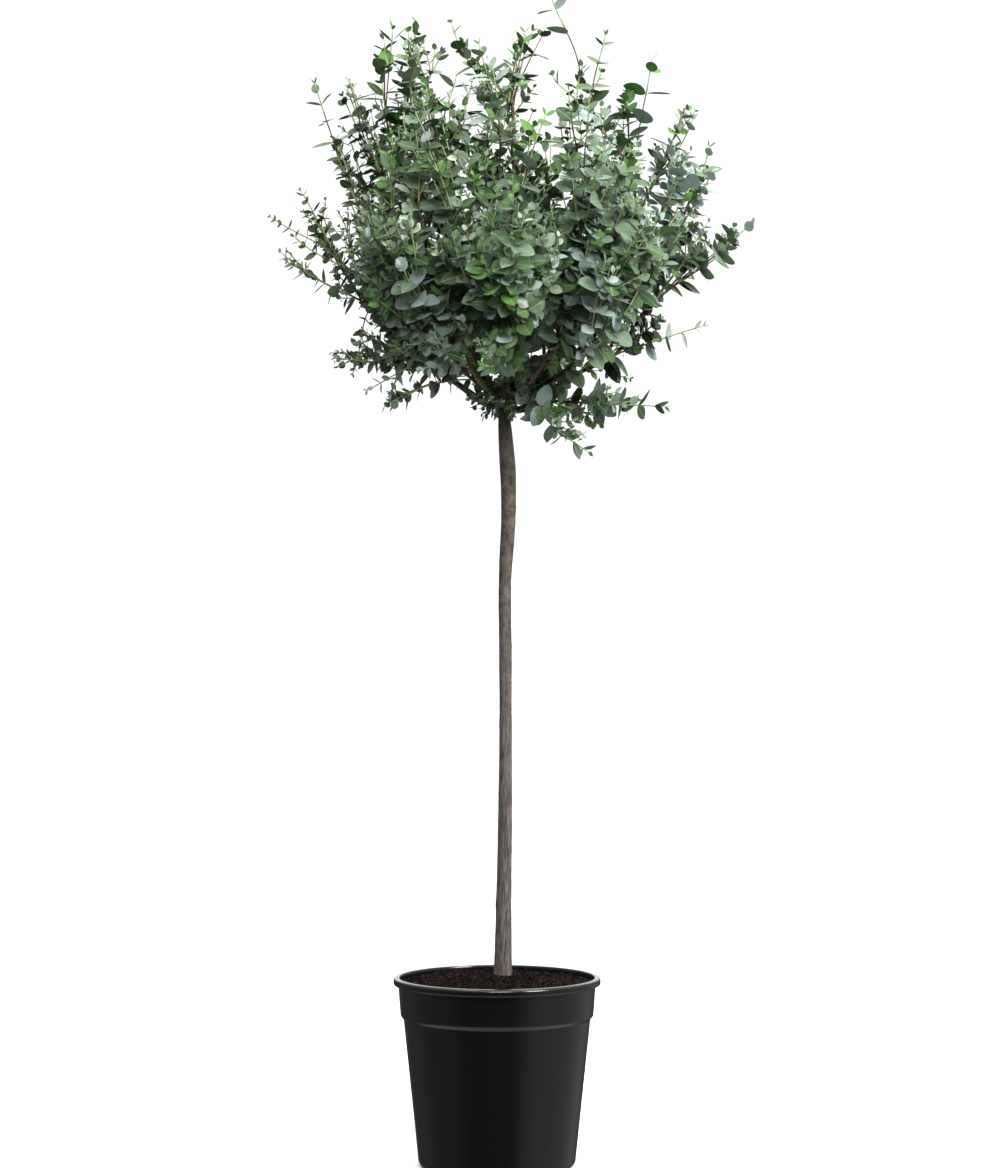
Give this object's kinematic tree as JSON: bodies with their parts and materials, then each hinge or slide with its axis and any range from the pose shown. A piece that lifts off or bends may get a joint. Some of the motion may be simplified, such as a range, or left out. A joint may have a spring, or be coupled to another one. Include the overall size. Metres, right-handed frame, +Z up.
{
  "type": "potted eucalyptus standard tree",
  "caption": "Small evergreen eucalyptus grown as a standard: a clear woody stem carries a loose round head of leafy shoots above a black plastic nursery pot.",
  "frame": {"origin": "centre of the pot's flat underside, where it stands on the ground", "axes": "+Z up along the pot's axis, +X to the right and -Y to the front as the plant is seen"},
  "size_m": [0.6907, 0.662, 1.6818],
  "materials": {
    "pot": "glossy moulded black polypropylene with a soft sheen and fine scuffs",
    "compost": "moist dark brown potting compost with fibres and bark crumbs",
    "bark": "grey-brown fibrous bark with fine upright streaks, smoother and warmer near the fork",
    "young_bark": "smooth brown bark of young boughs",
    "leaf": "waxy round leaves, blue-grey to deep green, paler beneath"
  },
  "bodies": {
    "root": {"pot": "pot", "compost": "compost", "trunk": "bark", "bough_to_skirt_left": "young_bark", "bough_to_skirt_right": "young_bark", "bough_to_skirt_front_left": "young_bark", "bough_to_skirt_back_right": "young_bark", "bough_to_skirt_front_right": "young_bark", "bough_to_belly_back_left": "young_bark", "bough_to_belly_front": "young_bark", "bough_to_belly_right": "young_bark", "bough_to_shoulder_left": "young_bark", "bough_to_shoulder_back_right": "young_bark", "leading_bough": "young_bark", "foliage_skirt_right": "leaf", "foliage_skirt_back_right": "leaf", "foliage_skirt_back_left": "leaf", "foliage_skirt_left": "leaf", "foliage_skirt_front_left": "leaf", "foliage_skirt_front_right": "leaf", "foliage_belly_right": "leaf", "foliage_belly_back_right": "leaf", "foliage_belly_back": "leaf", "foliage_belly_back_left": "leaf", "foliage_belly_left": "leaf", "foliage_belly_front_left": "leaf", "foliage_belly_front": "leaf", "foliage_belly_front_right": "leaf", "foliage_shoulder_right": "leaf", "foliage_shoulder_back_right": "leaf", "foliage_shoulder_back_left": "leaf", "foliage_shoulder_left": "leaf", "foliage_shoulder_front_left": "leaf", "foliage_shoulder_front_right": "leaf", "foliage_top_right": "leaf", "foliage_top_back": "leaf", "foliage_top_left": "leaf", "foliage_top_front": "leaf", "foliage_leader_spray": "leaf", "foliage_top_left_spray": "leaf", "foliage_crest_left_spray": "leaf", "foliage_upper_left_spray": "leaf", "foliage_outer_left_spray": "leaf", "foliage_left_spray": "leaf", "foliage_low_left_spray": "leaf", "foliage_hanging_left_spray": "leaf", "foliage_right_spray": "leaf", "foliage_upper_right_spray": "leaf", "foliage_top_right_spray": "leaf", "foliage_middle_right_spray": "leaf", "foliage_crest_spray": "leaf", "foliage_low_right_spray": "leaf", "foliage_hanging_right_spray": "leaf", "foliage_hanging_middle_spray": "leaf", "foliage_front_spray": "leaf", "foliage_low_front_spray": "leaf", "foliage_back_spray": "leaf", "foliage_low_back_spray": "leaf"}
  },
  "joints": []
}
